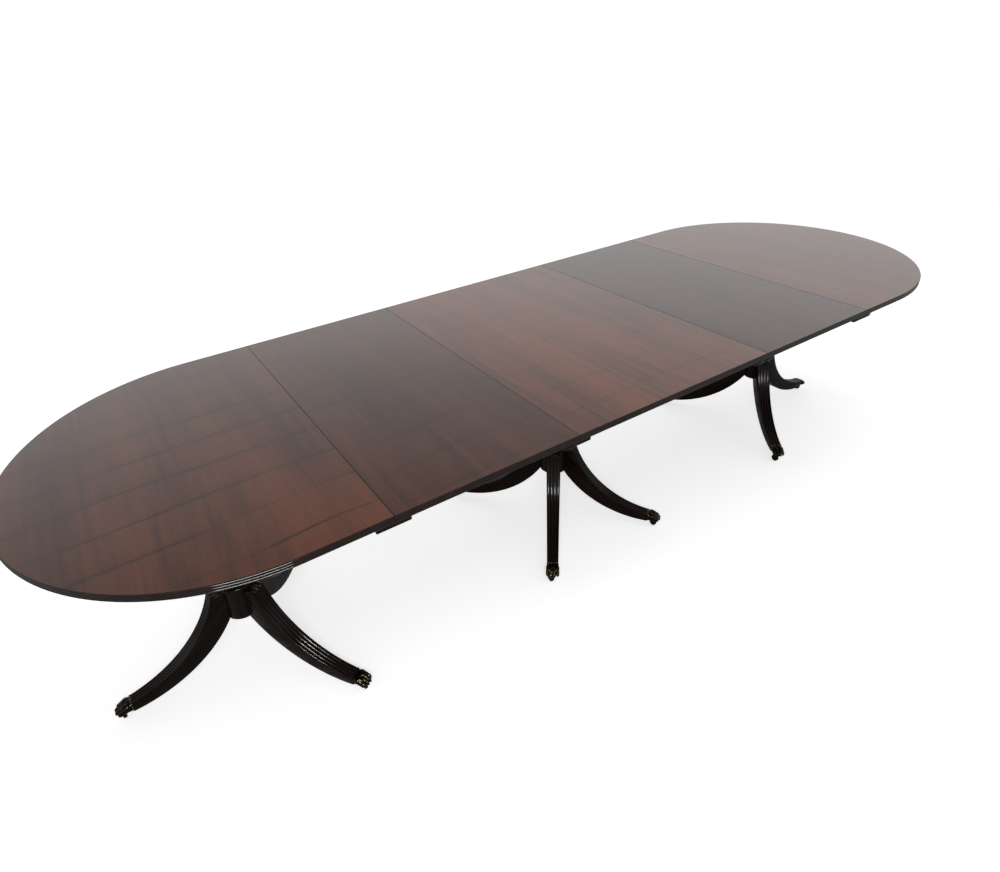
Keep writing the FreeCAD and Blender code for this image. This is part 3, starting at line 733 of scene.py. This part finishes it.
def mark_edges(bm, straight_to):
    """Gives the reeds and the joint faces the second finish and the underside the third. edge_wear is
    1 on the reeds' crests, and along_grain has the grain along X."""
    crest = bm.verts.layers.float.new("edge_wear")
    place = bm.verts.layers.float_vector.new("along_grain")
    for vert in bm.verts:
        vert[place] = bearer_grain @ vert.co
        past = max(abs(vert.co.x) - straight_to, 0.0)
        out = math.hypot(past, vert.co.y) - (half_width - reed_rise)
        vert[crest] = min(max(out / reed_rise, 0.0), 1.0)
    bm.normal_update()
    for face in bm.faces:
        if abs(face.normal.z) < flat_facing:
            face.material_index = 1
        elif face.normal.z < 0.0:
            face.material_index = 2


def straight_section(node, arrises):
    """Centre section or leaf: moulded along both long sides, square at both joint faces."""
    low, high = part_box(node)
    bm = bmesh.new()
    outline = half_outline(bm, low.x, 1)
    drawn_on(bm, outline, Vector((high.x - low.x, 0.0, 0.0)))
    bmesh.ops.mirror(bm, geom=bm.verts[:] + bm.edges[:] + bm.faces[:], axis="Y",
                     merge_dist=weld_distance)
    close_section(bm, dict(zip((low.x, high.x), arrises)))
    mark_edges(bm, max(abs(low.x), abs(high.x)))
    return bm


def round_section(node, arrises):
    """End section: straight for a little way from its joint face, then a half circle."""
    low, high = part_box(node)
    joint = min(abs(low.x), abs(high.x))
    tip = max(abs(low.x), abs(high.x))
    round_from = tip - half_width
    bm = bmesh.new()
    run = Vector((round_from - joint, 0.0, 0.0))
    near = drawn_on(bm, half_outline(bm, joint, -1), run)
    verts = {vert for edge in near for vert in edge.verts}
    swept = bmesh.ops.spin(bm, geom=near + list(verts), cent=(round_from, 0.0, 0.0),
                           axis=(0.0, 0.0, 1.0), angle=math.pi, steps=round_steps)
    far = [item for item in swept["geom_last"] if isinstance(item, bmesh.types.BMEdge)]
    drawn_on(bm, far, -run)
    close_section(bm, {joint: arrises[0]})
    mark_edges(bm, round_from)
    if high.x < 0.0:
        half_turn = Matrix.Rotation(math.pi, 3, "Z")
        bmesh.ops.rotate(bm, cent=(0.0, 0.0, 0.0), matrix=half_turn, verts=bm.verts)
    return bm


def polished_mahogany(name, seed, ripple, redness, depth, tone):
    """French polished mahogany of one section: seed moves its figure, ripple is the strength of the
    dark ripple across the grain, redness and depth shift its bands, tone is its overall lightness."""
    finish, tree, shader = new_finish(name)
    place = shader_node(tree, "TexCoord").outputs["Object"]
    grain = turned_by(tree, place, top_grain_turn)
    figure = use_group(tree, figure_group, {"Vector": grain, "Seed": seed, "Spacing": ripple_spacing})
    marks = use_group(tree, marks_group, {"Vector": place})
    colour = blend(tree, spread(tree, figure["Streak"], *top_streaks), mahogany_deep, mahogany_body)
    mottled = mottle_share * ripple
    for source, edge, share, towards in (("Band", red_bands, redness, mahogany_red),
                                         ("Band", dark_bands, depth, mahogany_deep),
                                         ("Mottle", red_mottle, mottled, mahogany_red),
                                         ("Mottle", dark_mottle, mottled, mahogany_deep)):
        patch = maths(tree, "MULTIPLY", spread(tree, figure[source], *edge), share)
        colour = blend(tree, patch, colour, towards)
    rippled = maths(tree, "MULTIPLY", figure["Ripple"], ripple)
    colour = blend(tree, rippled, colour, mahogany_line)
    colour = blend(tree, maths(tree, "MULTIPLY", figure["Pore"], top_pores), colour, pore_dark)
    colour = blend(tree, 1.0, colour, (tone, tone, tone, 1.0), "MULTIPLY")
    tree.links.new(colour, shader.inputs["Base Color"])
    gloss = spread(tree, marks["Smear"], *usual_noise, *polish_gloss)
    gloss = maths(tree, "ADD", gloss, maths(tree, "MULTIPLY", marks["Scratch"], scratch_dulls))
    tree.links.new(gloss, shader.inputs["Roughness"])
    shader.inputs["IOR"].default_value = polish_ior
    streaks = maths(tree, "MULTIPLY", figure["Streak"], streak_relief)
    set_bump(tree, shader, maths(tree, "SUBTRACT", streaks, figure["Pore"]), polish_relief)
    return finish


def painted_shade_edge():
    """Reeded edge and joint faces, polished and made far darker than the face as painted shade, rubbed
    along the crests.
    """
    finish, tree, shader = new_finish("stained_edge_mahogany")
    place = shader_node(tree, "TexCoord").outputs["Object"]
    marks = use_group(tree, marks_group, {"Vector": place})
    wear = use_group(tree, wear_group, {"Vector": place, "Mask": attribute(tree, "edge_wear")["Fac"]})
    fibre = cloud(tree, place, fibre_cells)
    # Painted shade: the edge's wood laid near black.
    colour = blend(tree, spread(tree, fibre, *usual_noise), edge_painted_shade, moulding_painted_shade)
    colour = blend(tree, maths(tree, "MULTIPLY", wear["Wear"], edge_rubbed), colour, moulding_worn)
    tree.links.new(colour, shader.inputs["Base Color"])
    tree.links.new(spread(tree, marks["Smear"], *usual_noise, *edge_gloss), shader.inputs["Roughness"])
    shader.inputs["Specular IOR Level"].default_value = edge_specular
    set_bump(tree, shader, fibre, edge_relief)
    return finish


edge_finish = painted_shade_edge()
# Body, arris at each joint face, and the seed, ripple, redness, depth and tone of the wood.
top_sections = {
    "left_end_top": ("left_end_unit", (0.0009,), 1.0, 0.88, 0.60, 0.50, 0.72),
    "left_leaf": ("left_leaf_unit", (0.0009, 0.0005), 2.0, 0.60, 0.25, 0.70, 0.62),
    "centre_top": ("centre_unit", (0.0005, 0.0024), 3.0, 0.30, 0.60, 0.40, 1.00),
    "right_leaf": ("right_leaf_unit", (0.0024, 0.0007), 5.0, 0.25, 0.00, 0.50, 0.45),
    "right_end_top": ("right_end_unit", (0.0007,), 6.0, 0.25, 0.20, 0.40, 1.10),
}
for node, (body, arrises, *figure) in top_sections.items():
    finish = polished_mahogany(node + "_mahogany", *figure)
    section = round_section(node, arrises) if "end" in node else straight_section(node, arrises)
    board = fit(section, node + "_polished", finish, body, "top_mahogany", node)
    board.data.materials.append(edge_finish)
    board.data.materials.append(bearer_finish)
    board.modifiers.new("even_shading", "WEIGHTED_NORMAL").keep_sharp = True

# Forks and sockets: cast brass clips screwed under the long edges at each joint. The fork's two
# prongs slide into the socket's barrels and hold two sections level.
fitting_arris = 0.0005
fitting_finish = patinated_brass("fitting_brass", brass_worn, brass_dull, brass_black, 0.8)
for node in ("centre_forks", "left_leaf_sockets", "left_leaf_forks", "left_end_sockets",
             "right_leaf_sockets", "right_leaf_forks", "right_end_sockets"):
    fit(eased(cad_copy(node), fitting_arris), node + "_cast", fitting_finish,
        node.rsplit("_", 1)[0] + "_unit", "fitting_brass", node)

# Screws: round-headed steel wood screws, gone dull. They hold the bearers up to the top and the
# blocks between the bearers, and the brass fittings under the edges of the sections.
screw_arris = 0.0002
steel_bright = (0.30, 0.29, 0.28, 1.0)
steel_dull = (0.11, 0.10, 0.095, 1.0)
steel_rust = (0.035, 0.018, 0.010, 1.0)
screw_finish = patinated_brass("dull_screw_steel", steel_bright, steel_dull, steel_rust, 0.7)
for section in ("centre", "left_leaf", "left_end", "right_leaf", "right_end"):
    node = section + "_screws"
    fit(eased(cad_copy(node), screw_arris), node + "_driven", screw_finish, section + "_unit",
        "screw_steel", node)

# Floor and light: a plain pale studio floor that runs out into a white surround, a large soft lamp
# overhead and a narrow soft lamp just above the camera. Two strips give the glints alone: one by the
# camera for the base, and one in front for the reeded edge, kept below the top's own level.
floor_half = 14.0
floor_colour = (0.82, 0.82, 0.82, 1.0)
floor_lift = 0.60
floor_roughness = 0.9
floor_fade_from = 1.9
floor_fade_to = 4.5
floor_fade_shape = (0.55, 1.0, 1.0)
overhead_size = (4.6, 2.2)
overhead_place = Vector((0.2, 0.0, 3.3))
overhead_power = 46.0
key_size = (0.85, 0.10)
key_place = Vector((-1.38, -1.74, 1.72))
key_power = 15.0
base_glint_size = (0.95, 0.16)
base_glint_power = 125.0
edge_glint_size = (1.5, 0.56)
edge_glint_place = Vector((-1.58, -2.6, 0.42))
edge_glint_power = 92.0
lamp_aim = Vector((0.0, 0.0, 0.45))
surround_light = 0.46
surround_low = 0.35
surround_peak = 1.10
surround_high = 0.22
surround_rise = (0.02, 0.22)
surround_fall = (0.36, 0.68)
floor_in_gloss = 0.10
floor_dulled = 0.55
black = (0.0, 0.0, 0.0, 1.0)
white = (1.0, 1.0, 1.0, 1.0)


def soft_lamp(name, place, size, power):
    """Rectangular lamp that looks at the table and isn't seen itself."""
    lamp = bpy.data.lights.new(name, "AREA")
    lamp.shape = "RECTANGLE"
    lamp.size, lamp.size_y = size
    lamp.energy = power
    holder = bpy.data.objects.new(name, lamp)
    holder.location = place
    holder.rotation_euler = (lamp_aim - place).to_track_quat("-Z", "Y").to_euler()
    holder.visible_camera = False
    bpy.context.scene.collection.objects.link(holder)
    return holder


def glint_strip(name, place, size, power, endings):
    """Lamp for the highlights alone, on the pieces whose names have the given endings."""
    lamp = soft_lamp(name, place, size, power)
    lamp.visible_diffuse = False
    lit = bpy.data.collections.new(name + "_pieces")
    for piece in bpy.context.scene.objects:
        if piece.name.endswith(endings):
            lit.objects.link(piece)
    lamp.light_linking.receiver_collection = lit


def seen_rays(tree, in_gloss=1.0):
    """1 for the rays that see the white surround from the camera or by way of glass, and the given
    share for those by way of gloss."""
    rays = shader_node(tree, "LightPath").outputs
    mirrored = maths(tree, "MULTIPLY", rays["Is Glossy Ray"], in_gloss)
    seen = maths(tree, "MAXIMUM", rays["Is Camera Ray"], mirrored)
    return maths(tree, "MAXIMUM", seen, rays["Is Transmission Ray"])


floor_mesh = bmesh.new()
bmesh.ops.create_grid(floor_mesh, x_segments=1, y_segments=1, size=floor_half)
floor_data = bpy.data.meshes.new("studio_floor")
floor_mesh.to_mesh(floor_data)
floor_mesh.free()
floor = bpy.data.objects.new("studio_floor", floor_data)
bpy.context.scene.collection.objects.link(floor)
floor_finish, floor_tree, floor_shader = new_finish("pale_floor")
floor_rays = shader_node(floor_tree, "LightPath").outputs
floor_in_polish = maths(floor_tree, "MULTIPLY", floor_rays["Is Glossy Ray"], floor_dulled)
floor_tone = blend(floor_tree, floor_in_polish, floor_colour, black)
floor_tree.links.new(floor_tone, floor_shader.inputs["Base Color"])
floor_shader.inputs["Roughness"].default_value = floor_roughness
floor_shader.inputs["Specular IOR Level"].default_value = 0.0
floor_shader.inputs["Emission Color"].default_value = white
floor_seen = seen_rays(floor_tree, floor_in_gloss)
floor_tree.links.new(maths(floor_tree, "MULTIPLY", floor_seen, floor_lift),
                     floor_shader.inputs["Emission Strength"])
on_floor = shader_node(floor_tree, "TexCoord").outputs["Object"]
on_floor = shader_node(floor_tree, "VectorMath", {0: on_floor, 1: floor_fade_shape},
                       operation="MULTIPLY").outputs[0]
from_middle = shader_node(floor_tree, "VectorMath", {0: on_floor}, operation="LENGTH").outputs["Value"]
far_away = spread(floor_tree, from_middle, floor_fade_from, floor_fade_to)
white_out = shader_node(floor_tree, "Emission")
run_out = shader_node(floor_tree, "MixShader", {0: maths(floor_tree, "MULTIPLY", far_away, floor_seen),
                                                1: floor_shader.outputs[0], 2: white_out.outputs[0]})
floor_tree.links.new(run_out.outputs[0], floor_tree.nodes["Material Output"].inputs["Surface"])
floor_data.materials.append(floor_finish)

soft_lamp("overhead_softbox", overhead_place, overhead_size, overhead_power).visible_glossy = False
soft_lamp("key_softbox", key_place, key_size, key_power).visible_glossy = False
glint_strip("base_glint", key_place, base_glint_size, base_glint_power,
            ("_reeded", "_cast", "_turning", "_turned"))
glint_strip("edge_glint", edge_glint_place, edge_glint_size, edge_glint_power, ("_polished",))

surround = bpy.data.worlds.new("white_surround")
surround.use_nodes = True
bpy.context.scene.world = surround
sky = surround.node_tree
direction = shader_node(sky, "TexCoord").outputs["Generated"]
height = shader_node(sky, "SeparateXYZ", {0: direction}).outputs["Z"]
sky_rays = shader_node(sky, "LightPath").outputs
rising = spread(sky, height, *surround_rise, surround_low, surround_peak)
falling = spread(sky, height, *surround_fall, 1.0, surround_high)
in_polish = maths(sky, "MULTIPLY", rising, falling)
level = spread(sky, seen_rays(sky), 0.0, 1.0, surround_light, 1.0)
polish_level = spread(sky, sky_rays["Is Glossy Ray"], 0.0, 1.0, 1.0, in_polish)
level = maths(sky, "MULTIPLY", level, polish_level)
sky.links.new(level, sky.nodes["Background"].inputs["Strength"])
sky.nodes["Background"].inputs["Color"].default_value = white

# Camera: stands in front of the left end at head height and looks along the table. Its place, turn
# and lens are those worked out from the photograph.
camera_place = Vector((-1.2452, -1.5109, 1.6135))
camera_aim = Vector((-0.4921, -0.2539, 0.75))
camera_roll = math.radians(-3.657)
camera_lens = 23.476
camera_sensor = 36.0
camera_shift = (0.0303, -0.0285)
camera = bpy.data.cameras.new("table_camera")
camera.sensor_width = camera_sensor
camera.lens = camera_lens
camera.shift_x, camera.shift_y = camera_shift
tripod = bpy.data.objects.new("table_camera", camera)
look = (camera_aim - camera_place).to_track_quat("-Z", "Y").to_matrix()
look = look @ Matrix.Rotation(camera_roll, 3, "Z")
tripod.matrix_world = Matrix.Translation(camera_place) @ look.to_4x4()
bpy.context.scene.collection.objects.link(tripod)
bpy.context.scene.camera = tripod
bpy.context.scene.view_settings.view_transform = "Standard"
